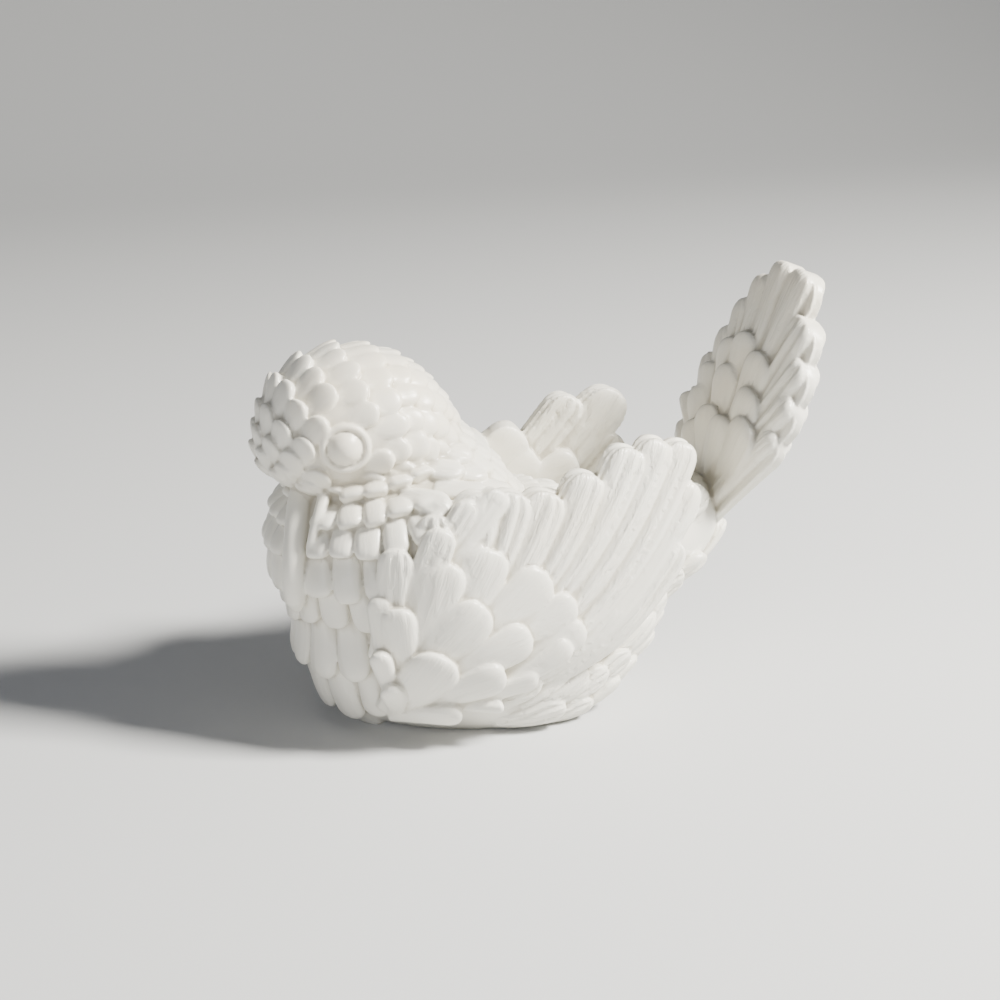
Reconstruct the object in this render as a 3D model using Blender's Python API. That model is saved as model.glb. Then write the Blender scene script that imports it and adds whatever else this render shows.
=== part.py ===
"""Nesting dove figurine, one solid casting in white marble-filled resin.

The bird sits on a flat oval underside with its head tucked, its bill pressed
down on the breast, both wings raised clear of the back and the tail fanned up.
It faces -X, its left side is -Y, and its origin is under the middle of the
bounding box, on the ground.
"""
import bpy
import bmesh
import numpy as np

# Driving size, metres, from the brow to the tip of the tail.
DOVE_LENGTH = 0.140

# The form and its carving are shares of that length, counted in 140ths.
SHARES = 140.0

# Body: ellipsoids of centre, radii and tilt in degrees, blended like clay.
CHEST = ((-19, 0, 43.5), (28.5, 28.5, 25.0), 0)
BREAST = ((-8.5, 0, 22), (33.5, 28.0, 27.0), 0)
BELLY = ((12, 0, 25), (36.0, 29.0, 25.5), 0)
KEEL = ((7, 0, 11), (31.0, 29.5, 17.0), 0)
RUMP = ((42, 0, 35), (25.0, 16.0, 14.0), 30)
NAPE = ((-15, 0, 57), (16.0, 17.0, 14.0), -40)
SHOULDERS = (((-5, -19.5, 37), (26.0, 12.0, 17.0), -8), ((-5, 19.5, 37), (26.0, 12.0, 17.0), -8))
SCAPULARS = (((-8, -21.5, 46), (16.0, 9.5, 12.0), -14), ((-8, 21.5, 46), (16.0, 9.5, 12.0), -14))
BODY_BLEND = 6.0
BODY_HEART = (-5, 0, 33)

# Head: brow, crown and poll, with the eye in this direction from the middle.
BROW = ((-31.0, 0, 72.3), (19.8, 18.4, 15.8), 0)
CROWN = ((-30.6, 0, 76.6), (16.2, 15.4, 12.0), 0)
POLL = ((-22.0, 0, 68.0), (18.0, 17.6, 15.4), -20)
LORES = ((-35.5, 0, 67.0), (14.6, 14.5, 9.6), 0)
HEAD_BLEND = 6.0
HEAD_HEART = (-29, 0, 72)
EYE_DIRECTION = (-0.36, -0.93, -0.04)
EYE_RADIUS = 4.2
EYE_SINK = 1.5
EYE_RIM_RADIUS = 5.1
EYE_RIM_THICKNESS = 1.0
EYE_CLEARANCE = 2.6

# Head scales: rows from the bill to the nape, their spread and their size.
SCALE_ROWS = 12
SCALE_SPREAD = (0.33, 2.4)
SCALE_PITCH = 6.1
SCALE_FLOW_START = (-0.53, 0, -0.85)
SCALE_FLOW_END = (0.85, 0, -0.40)
SCALE_REACH = 4.0
THROAT = (-45, 58)
SCALE_CUT = dict(rise=(-0.7, 1.0), crown=1.0, root_share=0.8, squareness=2.0, stations=8)

# Bill: a blunt rod pressed on the near half of the breast.
BILL_TOP = (-42.0, -3.5, 59.5)
BILL_BEND = (-50.2, -18.5, 45.0)
BILL_TIP = (-46.4, -11.5, 32.2)
BILL_THICKNESS = 5.6
BILL_TAPER = (1.0, 1.1, 1.02, 0.98, 0.96, 0.96, 1.0, 0.95, 0.45)
LOWER_BILL_TOP = (-38.8, -11.5, 60.5)
LOWER_BILL_BEND = (-42.6, -17.5, 54.5)
LOWER_BILL_TIP = (-44.8, -16.4, 48.0)
LOWER_BILL_TAPER = (0.54, 0.54, 0.5, 0.4, 0.2)
CERE_SPREAD = 4.8
CERE_TAPER = (0.46, 0.54, 0.54, 0.46, 0.36, 0.18)

# Breast rows: height in front, width and length of each row's feathers; the
# upper rows are squared tiles, the lower ones rounded tongues.
BREAST_ROWS = ((63.3, 6.2, 9), (58, 6.6, 9), (52.5, 6.6, 9.5), (45.5, 7.4, 11), (37.5, 8, 12),
               (26.5, 8.8, 15), (13.5, 8.8, 14), (4.5, 8, 12))
BREAST_SQUARED_ROWS = 4
BREAST_TILT_DEG = 14
BREAST_REACH_DEG = 100
BREAST_HUB = (-14, 0, 36)
BREAST_FILL = 0.97
BREAST_CUT = dict(rise=(-0.9, 1.9), crown=1.5, root_share=0.9, stations=8)
BREAST_SQUARENESS = (3.4, 2.2)

# Wings: shells that stand off the body, fanned about a shoulder low in front.
SHOULDER = (-29.1, 4.4)
WING_HALF_WIDTH = 34.0
WING_THICKNESS = 4.0
WING_BOW = (-5, 5, 30)
WING_BEND_FRONT = 0.011
WING_BEND_REAR = 0.0022
WING_BEND_LOW = 0.016
WING_BEND_HIGH = 0.0024
FAR_WING_REACH = 1.03
FAR_WING_DROOP_DEG = 2.5

# Rows of a wing's feathers. Each runs evenly from its first feather to its
# last: distance of roots and tips from the shoulder, their angles, the width.
QUILLS = dict(count=6, roots=(24, 24), tips=(62, 96), root_angles=(66, 20), tip_angles=(60.5, 41),
              width=(10.5, 11.5), bow=4)
HIND_QUILLS = dict(count=2, roots=(24, 24), tips=(90, 79), root_angles=(15, 10),
                   tip_angles=(36, 29.5), width=(11, 11), bow=3)
LAPS = (
    dict(count=6, roots=(22, 20), tips=(46, 52), root_angles=(90, 34), tip_angles=(88, 32), width=(10, 14)),
    dict(count=4, roots=(16, 14), tips=(42, 38), root_angles=(76, 24), tip_angles=(72, 23), width=(12, 12)),
    dict(count=3, roots=(8, 6), tips=(31, 29), root_angles=(86, 26), tip_angles=(83, 31), width=(9, 12)),
    dict(count=2, roots=(14, 2), tips=(32, 20), root_angles=(98, 30), tip_angles=(94, 23), width=(5, 6)),
)
INNER_LAP = dict(count=5, roots=(30, 30), tips=(62, 62), root_angles=(68, 40), tip_angles=(64, 42),
                 width=(11, 12))
QUILL_SINK = 0.6 * WING_THICKNESS
LAP_SINK = 1.25 * WING_THICKNESS
QUILL_CUT = dict(crown=1.3, sink=QUILL_SINK, root_share=0.6, stations=14, looseness=0.3)
QUILL_RISE = ((-0.6, 0.2), (-0.6, -0.2))
VANE_SHARE = 0.55
VANE_CUT = dict(rise=(-0.4, 0.4), crown=1.5, sink=QUILL_SINK, root_share=0.7, stations=14, looseness=0.3)
LAP_CUT = dict(crown=1.4, sink=LAP_SINK, root_share=0.6, stations=12)
LAP_RISES = ((0.2, 3.0), (1.0, 4.0), (1.5, 4.8), (2.0, 4.6))
INNER_LAP_CUT = dict(rise=(0.4, 1.6), crown=1.3, sink=QUILL_SINK, root_share=0.7, stations=12)

# Tail: a fan rising from the rump.
TAIL_ROOT = (60.9, -1.0, 40.0)
TAIL_RISE_DEG = 69.0
TAIL_LENGTH = 67.2
TAIL_HALF_THICKNESS = 1.6
TAIL_CAMBER = 0.004
TAIL_QUILLS = 9
TAIL_SPREAD_DEG = (-32, 27)
TAIL_FALL = 23
TAIL_QUILL_WIDTH = 12.5
TAIL_QUILL_CUT = dict(rise=(-0.6, 0.1), crown=1.0, sink=2.4, root_share=0.6, squareness=2.4,
                      stations=14, looseness=0.2)
TAIL_VANE_CUT = {**TAIL_QUILL_CUT, "rise": (-0.4, 0.3), "crown": 1.6}

# Tail coverts: length from the root, number and half spread of each row.
TAIL_COVERTS = ((46, 3, 17), (38, 4, 25), (29, 4, 29), (20, 4, 31))
TAIL_COVERT_WIDTH = 8.2
TAIL_COVERT_LENGTH = 18
TAIL_COVERT_CUT = dict(crown=1.8, sink=2.6, root_share=0.75, squareness=2.2, stations=10)
TAIL_COVERT_LIFT = 3.0
TAIL_COVERT_STEP = 0.5

# Lances of the flanks and rump, and of the mantle: rings about an axis.
FLANK = dict(hub=(-4, 0, 20), direction=(1.0, 0, 0.55), step=7.0, rows=10, arc_deg=360,
             width=6.6, length=13)
MANTLE = dict(hub=(-16, 0, 62), direction=(0.62, 0, -0.78), step=6.0, rows=5, arc_deg=230,
              width=6.8, length=12)
MANTLE_FRONT = -26
BACK_CLEAR = (4, 45)
LANCE_CUT = dict(rise=(-0.6, 1.8), crown=1.1, root_share=0.75, squareness=1.9, stations=8)

# Feather relief.
FEATHER_SINK = 1.8
CARVING_UNEVENNESS = 0.05
UNEVENNESS_SEED = 11

# Cast skin: the finest step it keeps and the facets it is cut to.
SKIN_STEP = 0.7
FACET_COUNT = 9800

# White cast resin.
RESIN_COLOUR = (0.80, 0.79, 0.74, 1.0)
RESIN_ROUGHNESS = 0.38
SHARP_EDGE = np.radians(50)


def unit(v):
    return v / np.maximum(np.linalg.norm(v, axis=-1, keepdims=True), 1e-12)


def mix(a, b, t):
    return a + (b - a) * t


class Clay:
    """Ellipsoids blended into one skin."""

    def __init__(self, lumps, blend):
        self.lumps = lumps
        self.blend = blend

    def depth(self, p):
        total = None
        for centre, radii, tilt in self.lumps:
            a = np.radians(tilt)
            q = p - np.array(centre, float)
            along = q[..., 0] * np.cos(a) + q[..., 2] * np.sin(a)
            upright = q[..., 2] * np.cos(a) - q[..., 0] * np.sin(a)
            q = np.stack([along, q[..., 1], upright], -1)
            r = np.array(radii)
            k0 = np.linalg.norm(q / r, axis=-1)
            k1 = np.linalg.norm(q / r ** 2, axis=-1)
            f = k0 * (k0 - 1.0) / np.maximum(k1, 1e-9)
            if total is None:
                total = f
            else:
                h = np.clip(0.5 + 0.5 * (total - f) / self.blend, 0, 1)
                total = mix(total, f, h) - self.blend * h * (1 - h)
        return total

    def normal(self, p):
        step = 0.05
        g = [self.depth(p + d) - self.depth(p - d) for d in np.eye(3) * step]
        return unit(np.stack(g, -1))

    def land(self, p):
        """Drops points on to the skin; returns them with their normals."""
        for _ in range(6):
            p = p - self.normal(p) * self.depth(p)[..., None]
        return p, self.normal(p)

    def cut(self, start, directions):
        """Where rays from a point inside leave the skin."""
        low = np.zeros(len(directions))
        high = np.full(len(directions), SHARES)
        for _ in range(32):
            middle = (low + high) / 2
            outside = self.depth(start + directions * middle[:, None]) > 0
            high = np.where(outside, middle, high)
            low = np.where(outside, low, middle)
        return start + directions * low[:, None]


class WingFace:
    """Outer or inner face of a raised wing, as a width over the side view."""

    def __init__(self, side, inset, outward):
        self.side = side
        self.inset = inset
        self.outward = outward

    def width(self, x, z):
        fore, aft, middle = WING_BOW
        front = WING_BEND_FRONT * np.maximum(0, fore - x) ** 2
        rear = WING_BEND_REAR * np.maximum(0, x - aft) ** 2
        low = WING_BEND_LOW * np.maximum(0, middle - z) ** 2
        high = WING_BEND_HIGH * np.maximum(0, z - middle) ** 2
        return WING_HALF_WIDTH - front - rear - low - high - self.inset

    def land(self, p):
        x = p[..., 0]
        z = p[..., 2]
        step = 0.05
        slope_x = (self.width(x + step, z) - self.width(x - step, z)) / (2 * step)
        slope_z = (self.width(x, z + step) - self.width(x, z - step)) / (2 * step)
        mirror = np.array([1, self.side, 1])
        points = np.stack([x, self.width(x, z), z], -1) * mirror
        normals = unit(np.stack([-slope_x, np.ones_like(x), -slope_z], -1)) * mirror
        return points, normals * self.outward

    def at(self, radius, angle):
        a = np.radians(angle)
        x = SHOULDER[0] + radius * np.cos(a)
        z = SHOULDER[1] + radius * np.sin(a)
        return np.array([x, 0, z])


class TailFace:
    """Front (+1) or back (-1) face of the tail fan, a little cambered."""

    def __init__(self, sign):
        a = np.radians(TAIL_RISE_DEG)
        self.sign = sign
        self.along = np.array([np.cos(a), 0, np.sin(a)])
        self.across = np.array([0, 1.0, 0])
        self.facing = np.array([-np.sin(a), 0, np.cos(a)])

    def land(self, p):
        q = p - np.array(TAIL_ROOT)
        b = q[..., 1]
        a = q @ self.along
        rise = self.sign * TAIL_HALF_THICKNESS - TAIL_CAMBER * b ** 2
        points = np.array(TAIL_ROOT) + a[..., None] * self.along + b[..., None] * self.across
        points = points + rise[..., None] * self.facing
        normals = unit(self.facing + (2 * TAIL_CAMBER * b)[..., None] * self.across)
        return points, normals * self.sign

    def at(self, length, angle):
        a = np.radians(angle)
        offset = self.along * length * np.cos(a) + self.across * length * np.sin(a)
        return np.array(TAIL_ROOT) + offset


def grid_faces(rows, columns):
    """Quads between rings of one closed tube."""
    i, j = np.meshgrid(np.arange(rows - 1), np.arange(columns), indexing="ij")
    after = (j + 1) % columns
    quads = [i * columns + j, i * columns + after, (i + 1) * columns + after, (i + 1) * columns + j]
    return np.stack(quads, -1).reshape(-1, 4).tolist()


def close_tube(rings):
    """A tube of rings, each a loop of points, closed by a point at either end."""
    rows, columns = rings.shape[:2]
    points = np.vstack([rings.reshape(-1, 3), rings[0].mean(0), rings[-1].mean(0)])
    j = np.arange(columns)
    after = (j + 1) % columns
    first = np.full(columns, rows * columns)
    last = (rows - 1) * columns
    start = np.stack([first, after, j], -1)
    end = np.stack([first + 1, last + j, last + after], -1)
    return points, grid_faces(rows, columns) + start.tolist() + end.tolist()


def clay_skin(clay, heart, rows, columns):
    """The whole skin of a clay form, seen from its heart."""
    polar, turn = np.meshgrid(np.linspace(0.02, np.pi - 0.02, rows),
                              np.linspace(0, 2 * np.pi, columns, endpoint=False), indexing="ij")
    rays = np.stack([np.sin(polar) * np.cos(turn), np.sin(polar) * np.sin(turn), np.cos(polar)], -1)
    points = clay.cut(np.array(heart, float), rays.reshape(-1, 3))
    return close_tube(points.reshape(rows, columns, 3))


def rod(path, thickness):
    """A round rod along a path, with its thickness at every point."""
    path = np.array(path, float)
    direction = unit(np.gradient(path, axis=0))
    side = unit(np.cross(direction, [0.0, 1.0, 0.1]))
    front = np.cross(direction, side)
    turn = np.linspace(0, 2 * np.pi, 12, endpoint=False)[None, :, None]
    ring = np.cos(turn) * side[:, None] + np.sin(turn) * front[:, None]
    return close_tube(path[:, None] + ring * np.array(thickness)[:, None, None] / 2)


def arc(start, bend, end, count):
    """Points of a curve from start to end, pulled towards a bend."""
    t = np.linspace(0, 1, count)[:, None]
    start, bend, end = (np.array(p, float) for p in (start, bend, end))
    return (1 - t) ** 2 * start + 2 * t * (1 - t) * bend + t ** 2 * end


class Carver:
    """Carves feathers one after another, each a little uneven."""

    def __init__(self):
        self.pieces = []
        self.begin(0)

    def begin(self, group):
        """Starts a group of feathers with its own unevenness."""
        self.uneven = np.random.default_rng(UNEVENNESS_SEED + group)

    def feather(self, face, root, bend, tip, width, rise, crown=0.9, sink=FEATHER_SINK,
                root_share=0.65, squareness=2.2, stations=10, looseness=1.0):
        """One feather laid on a face along a curved quill.

        It rises from the first to the second value of rise, is crowned across
        and rounded off at its tip; its underside is sunk in the body.
        """
        vary = 1 + CARVING_UNEVENNESS * self.uneven.uniform(-1, 1, 3)
        tip = root + (tip - root) * mix(1, vary[0], looseness)
        width = width * vary[1]
        length = np.linalg.norm(bend - root) + np.linalg.norm(tip - bend)
        tip_share = min(0.7, 0.55 * width / length)
        early = np.linspace(0, 1 - tip_share, stations // 2, endpoint=False)
        late = 1 - tip_share + tip_share * np.sin(np.linspace(0, 1.43, stations - stations // 2))
        s = np.concatenate([early, late])[:, None]
        quill = (1 - s) ** 2 * root + 2 * s * (1 - s) * bend + s ** 2 * tip
        course = 2 * (1 - s) * (bend - root) + 2 * s * (tip - bend)
        quill, normals = face.land(quill)
        side = unit(np.cross(course, normals))
        rounding = np.clip((s - (1 - tip_share)) / tip_share, 0, 1)
        swell = mix(root_share, 1, np.sin(np.clip(s / (1 - tip_share), 0, 1) * np.pi / 2))
        half = width / 2 * swell * (1 - rounding ** squareness) ** (1 / squareness)
        over = np.sin(np.linspace(-np.pi / 2, np.pi / 2, 9))
        under = np.linspace(0.85, -0.85, 3)
        across = np.concatenate([over, under])
        spread = quill[:, None] + side[:, None] * (half * across)[..., None]
        on_face, normals = face.land(spread)
        arch = np.sqrt(np.maximum(0, 1 - np.abs(over) ** 2.6))
        height = mix(rise[0], rise[1] * vary[2], s) + crown * arch * np.sqrt(1 - rounding ** 3)
        height = np.hstack([height, np.full((len(s), len(under)), -sink)])
        self.pieces.append(close_tube(on_face + normals * height[..., None]))


def smooth_step(t):
    return t * t * (3 - 2 * t)


def carve_head(carver, head):
    """Scales that flow from the bill over the crown and down to the nape."""
    carver.begin(1)
    bill = unit(np.array(SCALE_FLOW_START))
    neck = unit(np.array(SCALE_FLOW_END))
    heart = np.array(HEAD_HEART, float)
    near_eye = head.cut(heart, unit(np.array([EYE_DIRECTION])))[0]
    eyes = (near_eye, near_eye * [1, -1, 1])
    throat_x, throat_z = THROAT
    for row, ratio in enumerate(np.geomspace(*SCALE_SPREAD, SCALE_ROWS)):
        pole = bill - ratio ** 2 * neck
        offset = (1 - ratio ** 2) / np.linalg.norm(pole)
        pole = unit(pole)
        radius = np.sqrt(1 - offset ** 2)
        across = np.array([0, 1.0, 0])
        forward = np.cross(across, pole)
        count = round(2 * np.pi * radius * BROW[1][0] / SCALE_PITCH)
        turns = 2 * np.pi * (np.arange(count) + 0.5 * (row % 2)) / count
        for turn in turns:
            p = offset * pole + radius * (np.cos(turn) * forward + np.sin(turn) * across)
            middle = head.cut(heart, p[None])[0]
            clear = min(np.linalg.norm(middle - eye) for eye in eyes)
            behind_bill = middle[2] < throat_z and middle[0] > throat_x
            if clear < EYE_RIM_RADIUS + EYE_CLEARANCE or behind_bill:
                continue
            flow = (p - bill) / ((p - bill) @ (p - bill)) - (p - neck) / ((p - neck) @ (p - neck))
            flow = unit(flow - p * (flow @ p))
            carver.feather(head, middle - flow * SCALE_REACH, middle, middle + flow * SCALE_REACH,
                           SCALE_PITCH, **SCALE_CUT)
    for eye in eyes:
        carve_eye(carver, eye, head.normal(eye))


def carve_eye(carver, centre, normal):
    """A blank domed eye inside a raised rim."""
    middle = centre - normal * EYE_SINK
    ball = Clay([(tuple(middle), (EYE_RADIUS,) * 3, 0)], 1.0)
    carver.pieces.append(clay_skin(ball, middle, 12, 18))
    side = unit(np.cross(normal, [0, 0, 1.0]))
    upright = np.cross(side, normal)
    around = np.linspace(0, 2 * np.pi, 25)[:, None]
    spoke = np.cos(around) * side + np.sin(around) * upright
    turn = np.linspace(0, 2 * np.pi, 8, endpoint=False)[None, :, None]
    tube = np.cos(turn) * spoke[:, None] + np.sin(turn) * normal
    ring = centre - normal * EYE_RIM_THICKNESS / 2 + EYE_RIM_RADIUS * spoke
    carver.pieces.append(close_tube(ring[:, None] + EYE_RIM_THICKNESS * tube))


def carve_bill(carver):
    """Upper bill, the thin lower bill beside it and the ridges of the cere."""
    upper = arc(BILL_TOP, BILL_BEND, BILL_TIP, len(BILL_TAPER))
    carver.pieces.append(rod(upper, BILL_THICKNESS * np.array(BILL_TAPER)))
    lower = arc(LOWER_BILL_TOP, LOWER_BILL_BEND, LOWER_BILL_TIP, len(LOWER_BILL_TAPER))
    carver.pieces.append(rod(lower, BILL_THICKNESS * np.array(LOWER_BILL_TAPER)))
    for side in (-1, 1):
        start = upper[0] + np.array([0, side * CERE_SPREAD, 0])
        ridge = arc(start, upper[1], upper[3], len(CERE_TAPER))
        carver.pieces.append(rod(ridge, BILL_THICKNESS * np.array(CERE_TAPER)))


def carve_breast(carver, body):
    """Rows across the breast: squared scales above, long rounded ones below."""
    carver.begin(2)
    tilt = np.radians(BREAST_TILT_DEG)
    down = np.array([np.sin(tilt), 0, -np.cos(tilt)])
    fore = np.array([-np.cos(tilt), 0, -np.sin(tilt)])
    hub = np.array(BREAST_HUB, float)
    reach = np.radians(BREAST_REACH_DEG)
    bill_line = arc(BILL_TOP, BILL_BEND, BILL_TIP, len(BILL_TAPER))[4:, 1].mean()
    for row, (level, width, length) in enumerate(BREAST_ROWS):
        squareness = BREAST_SQUARENESS[row >= BREAST_SQUARED_ROWS]
        middle = hub - down * (level - hub[2])
        radius = np.linalg.norm(body.cut(middle, fore[None])[0] - middle)
        count = int(2 * reach * radius / width)
        turns = -reach + 2 * reach * (np.arange(count) + 0.25 + 0.5 * (row % 2)) / count
        rays = np.cos(turns)[:, None] * fore + np.sin(turns)[:, None] * np.array([0, 1.0, 0])
        for q in body.cut(middle, rays):
            if abs(q[1] - bill_line) < BILL_THICKNESS * 0.8 and q[2] > BILL_TIP[2]:
                continue
            carver.feather(body, q - down * length * 0.75, q - down * length * 0.25,
                           q + down * length * 0.25, width * BREAST_FILL, squareness=squareness,
                           **BREAST_CUT)


def carve_rows(carver, body, keep, hub, direction, step, rows, arc_deg, width, length):
    """Rings of lance-shaped feathers about an axis, all pointing along it."""
    carver.begin(3)
    direction = unit(np.array(direction))
    upright = np.array([-direction[2], 0, direction[0]])
    across = np.array([0, 1.0, 0])
    reach = np.radians(arc_deg) / 2
    for row in range(rows):
        middle = np.array(hub) + direction * row * step
        radius = np.linalg.norm(body.cut(middle, -across[None])[0] - middle)
        count = int(2 * reach * radius / width)
        turns = -reach + 2 * reach * (np.arange(count) + 0.25 + 0.5 * (row % 2)) / count
        rays = np.cos(turns)[:, None] * upright + np.sin(turns)[:, None] * across
        for q in body.cut(middle, rays):
            if not keep(q):
                continue
            normal = body.normal(q)
            flow = unit(direction - normal * (direction @ normal))
            carver.feather(body, q - flow * length * 0.5, q, q + flow * length * 0.5, width, **LANCE_CUT)


def carve_lances(carver, body):
    """Flanks, rump and underside, then the mantle behind the head."""
    clear_x, clear_z = BACK_CLEAR
    carve_rows(carver, body, lambda q: q[2] > -1 and not (q[0] < clear_x and q[2] > clear_z), **FLANK)
    carve_rows(carver, body, lambda q: q[0] > MANTLE_FRONT, **MANTLE)


def fan(carver, face, count, roots, tips, root_angles, tip_angles, width, bow=0.0, ease=mix, **cut):
    """A row of feathers of a wing, fanned about the shoulder."""
    for i in range(count):
        t = i / max(count - 1, 1)
        root_angle = mix(*root_angles, t)
        tip_angle = mix(*tip_angles, t)
        root = face.at(mix(*roots, t), root_angle)
        tip = face.at(ease(*tips, t), tip_angle)
        half_way = mix(*roots, t) / 2 + ease(*tips, t) / 2
        bend = face.at(half_way, root_angle / 2 + tip_angle / 2 - bow)
        carver.feather(face, root, bend, tip, mix(*width, t), **cut)


def eased(a, b, t):
    return mix(a, b, smooth_step(t))


def reached(row, reach, droop):
    """A row of quills reaching further out and drooping, on the far wing."""
    tips = tuple(tip * (reach if tip > QUILLS["tips"][0] else 1) for tip in row["tips"])
    angles = tuple(angle - droop for angle in row["tip_angles"])
    return {**row, "tips": tips, "tip_angles": angles}


def carve_wing(carver, side, reach, droop):
    """Long quills on both faces of the blade, four rows of coverts outside."""
    carver.begin(4)
    outer = WingFace(side, 0.0, 1.0)
    inner = WingFace(side, WING_THICKNESS, -1.0)
    for face, rise in zip((outer, inner), QUILL_RISE):
        for row, ease in ((QUILLS, eased), (HIND_QUILLS, mix)):
            blades = reached(row, reach, droop)
            vanes = {**blades, "width": tuple(width * VANE_SHARE for width in blades["width"])}
            fan(carver, face, ease=ease, rise=rise, **blades, **QUILL_CUT)
            fan(carver, face, ease=ease, **vanes, **VANE_CUT)
    for row, rise in zip(LAPS, LAP_RISES):
        fan(carver, outer, rise=rise, **row, **LAP_CUT)
    fan(carver, inner, **INNER_LAP, **INNER_LAP_CUT)


def carve_tail(carver):
    """Quills on both faces of the fan and tongue-shaped coverts in front."""
    carver.begin(6)
    front = TailFace(1)
    back = TailFace(-1)
    for face in (front, back):
        for angle in np.linspace(*TAIL_SPREAD_DEG, TAIL_QUILLS):
            fall = TAIL_FALL * abs(angle / TAIL_SPREAD_DEG[0]) ** (1.2 if angle < 0 else 1.5)
            length = TAIL_LENGTH - fall
            quill = (face.at(-4, angle * 0.3), face.at(length * 0.5, angle * 0.85), face.at(length, angle))
            carver.feather(face, *quill, TAIL_QUILL_WIDTH, **TAIL_QUILL_CUT)
            carver.feather(face, *quill, TAIL_QUILL_WIDTH * VANE_SHARE, **TAIL_VANE_CUT)
    for row, (length, count, half) in enumerate(TAIL_COVERTS):
        rise = (0.3, TAIL_COVERT_LIFT + TAIL_COVERT_STEP * row)
        for i in range(count):
            angle = mix(-half, 0.85 * half, (i + 0.25 * (row % 2)) / (count - 0.75))
            root = front.at(length - TAIL_COVERT_LENGTH, angle * 0.9)
            bend = front.at(length - TAIL_COVERT_LENGTH / 2, angle)
            carver.feather(front, root, bend, front.at(length, angle), TAIL_COVERT_WIDTH, rise=rise,
                           **TAIL_COVERT_CUT)


def carve():
    """Every form and feather of the bird, as overlapping closed shapes."""
    carver = Carver()
    body = Clay([CHEST, BREAST, BELLY, KEEL, RUMP, NAPE, *SHOULDERS, *SCAPULARS], BODY_BLEND)
    head = Clay([BROW, CROWN, POLL, LORES], HEAD_BLEND)
    carver.pieces.append(clay_skin(body, BODY_HEART, 60, 90))
    carver.pieces.append(clay_skin(head, HEAD_HEART, 40, 60))
    carve_head(carver, head)
    carve_bill(carver)
    carve_breast(carver, body)
    carve_lances(carver, body)
    carve_wing(carver, -1, 1.0, 0.0)
    carve_wing(carver, 1, FAR_WING_REACH, FAR_WING_DROOP_DEG)
    carve_tail(carver)
    return carver.pieces


def join(pieces):
    """All the shapes as one mesh in metres."""
    points = []
    faces = []
    start = 0
    for piece_points, piece_faces in pieces:
        points.append(piece_points)
        faces.extend([[start + i for i in face] for face in piece_faces])
        start += len(piece_points)
    mesh = bpy.data.meshes.new("dove")
    mesh.from_pydata((np.vstack(points) * DOVE_LENGTH / SHARES).tolist(), [], faces)
    return mesh


def applied(mesh, **settings):
    """The mesh with one modifier worked into it."""
    holder = bpy.data.objects.new("casting", mesh)
    bpy.context.scene.collection.objects.link(holder)
    modifier = holder.modifiers.new("step", settings.pop("kind"))
    for name, value in settings.items():
        setattr(modifier, name, value)
    evaluated = holder.evaluated_get(bpy.context.evaluated_depsgraph_get())
    result = bpy.data.meshes.new_from_object(evaluated)
    bpy.data.objects.remove(holder)
    bpy.data.meshes.remove(mesh)
    return result


def keep_largest(bm):
    """Drops loose specks, keeping the one skin that is the bird."""
    unseen = set(bm.verts)
    islands = []
    while unseen:
        edge_of_island = [unseen.pop()]
        island = set(edge_of_island)
        while edge_of_island:
            vertex = edge_of_island.pop()
            for edge in vertex.link_edges:
                other = edge.other_vert(vertex)
                if other not in island:
                    island.add(other)
                    unseen.discard(other)
                    edge_of_island.append(other)
        islands.append(island)
    islands.sort(key=len)
    for island in islands[:-1]:
        bmesh.ops.delete(bm, geom=list(island), context="VERTS")


def flat_underside(bm):
    """Cuts the casting off at the ground and closes the flat underside."""
    geometry = bm.verts[:] + bm.edges[:] + bm.faces[:]
    cut = bmesh.ops.bisect_plane(bm, geom=geometry, dist=1e-7, plane_co=(0, 0, 0),
                                 plane_no=(0, 0, -1), clear_outer=True)
    rim = [item for item in cut["geom_cut"] if isinstance(item, bmesh.types.BMEdge)]
    bmesh.ops.triangle_fill(bm, edges=rim, use_beauty=True, normal=(0, 0, -1))
    bmesh.ops.triangulate(bm, faces=[face for face in bm.faces if len(face.verts) > 3])
    bmesh.ops.recalc_face_normals(bm, faces=bm.faces)


def cast():
    """One closed faceted solid, centred on the origin and standing on it."""
    mesh = join(carve())
    mesh = applied(mesh, kind="REMESH", mode="VOXEL", voxel_size=SKIN_STEP * DOVE_LENGTH / SHARES)
    share = FACET_COUNT / (2 * len(mesh.polygons))
    mesh = applied(mesh, kind="SMOOTH", factor=0.5, iterations=1)
    mesh = applied(mesh, kind="TRIANGULATE")
    mesh = applied(mesh, kind="DECIMATE", ratio=share)
    bm = bmesh.new()
    bm.from_mesh(mesh)
    keep_largest(bm)
    flat_underside(bm)
    corners = np.array([vertex.co for vertex in bm.verts])
    middle = (corners.min(0) + corners.max(0)) / 2
    for vertex in bm.verts:
        place = (vertex.co.x - middle[0], vertex.co.y - middle[1], vertex.co.z)
        vertex.co = [round(value, 6) for value in place]
    bm.to_mesh(mesh)
    bm.free()
    mesh.name = "dove"
    return mesh


def resin():
    """White marble-filled resin, satin."""
    material = bpy.data.materials.new("resin")
    material.use_nodes = True
    shader = material.node_tree.nodes["Principled BSDF"]
    shader.inputs["Base Color"].default_value = RESIN_COLOUR
    shader.inputs["Roughness"].default_value = RESIN_ROUGHNESS
    shader.inputs["Metallic"].default_value = 0.0
    material.diffuse_color = RESIN_COLOUR
    return material


for item in list(bpy.data.objects):
    bpy.data.objects.remove(item)
casting = cast()
casting.materials.clear()
casting.materials.append(resin())
casting.shade_smooth()
casting.set_sharp_from_angle(angle=SHARP_EDGE)
dove = bpy.data.objects.new("dove", casting)
bpy.context.scene.collection.objects.link(dove)
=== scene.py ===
import bmesh
import bpy
import numpy as np
from mathutils import Matrix, Vector, kdtree


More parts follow.
